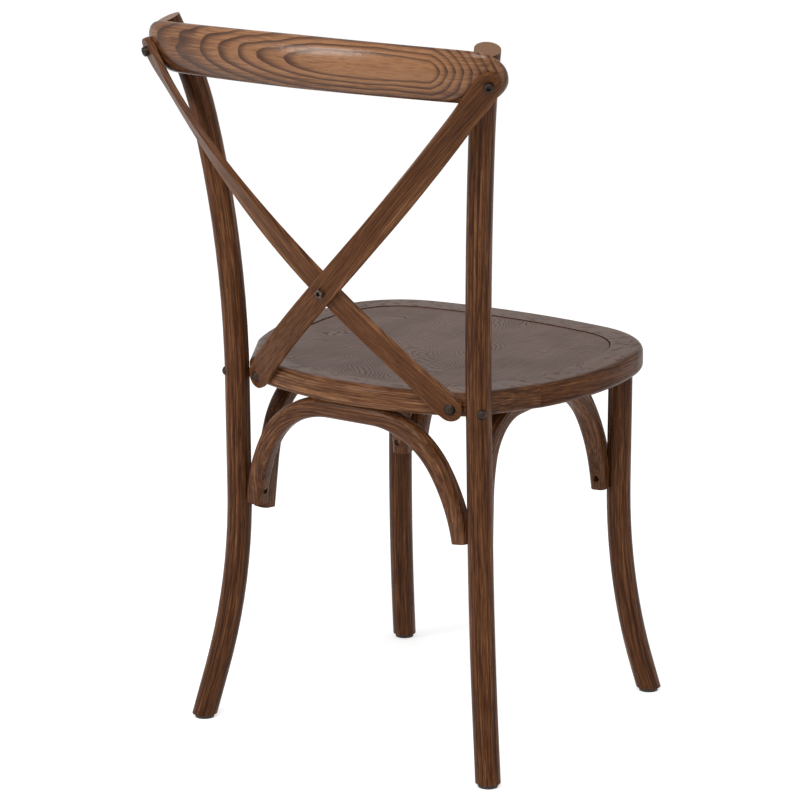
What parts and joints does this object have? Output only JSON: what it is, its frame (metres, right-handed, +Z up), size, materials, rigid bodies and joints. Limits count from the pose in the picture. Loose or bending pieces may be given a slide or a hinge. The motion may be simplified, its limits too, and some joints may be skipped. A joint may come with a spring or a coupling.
{
  "type": "dining chair",
  "caption": "Wooden cross back dining chair: bent round posts and legs, flat seat with inset panel, curved crest rail, crossed back straps and bentwood bows below.",
  "frame": {"origin": "on the floor, under the middle of the chair's overall width and depth", "axes": "+Z up; the chair faces -Y, its back is towards +Y; +X is the sitter's left"},
  "size_m": [0.5113, 0.5168, 0.8893],
  "materials": {
    "stained_wood": "walnut-brown stain with satin lacquer",
    "panel_wood": "walnut-brown stain, pressed feather grain, satin lacquer",
    "dowel_wood": "plain fluted beech",
    "bronzed_steel": "dark bronze, slightly worn",
    "zinc_steel": "zinc plated",
    "glide_plastic": "dark brown moulded plastic"
  },
  "bodies": {
    "root": {"rear_post_left": "stained_wood", "rear_post_right": "stained_wood", "front_leg_left": "stained_wood", "front_leg_right": "stained_wood", "crest_rail": "stained_wood", "cross_strap_outer": "stained_wood", "cross_strap_inner": "stained_wood", "seat_front_rail": "stained_wood", "seat_rear_rail": "stained_wood", "seat_side_rail_left": "stained_wood", "seat_side_rail_right": "stained_wood", "rear_bow": "stained_wood", "front_bow": "stained_wood", "side_bow_left": "stained_wood", "side_bow_right": "stained_wood", "seat_panel": "panel_wood", "seat_rail_dowels": "dowel_wood", "post_bolts": "bronzed_steel", "strap_top_screws": "bronzed_steel", "strap_seat_screws": "bronzed_steel", "cross_bolt": "bronzed_steel", "cross_nut": "bronzed_steel", "bow_end_screws": "bronzed_steel", "post_barrel_nuts": "zinc_steel", "bow_seat_screws": "zinc_steel", "glide_nails": "zinc_steel", "floor_glides": "glide_plastic"}
  },
  "joints": []
}
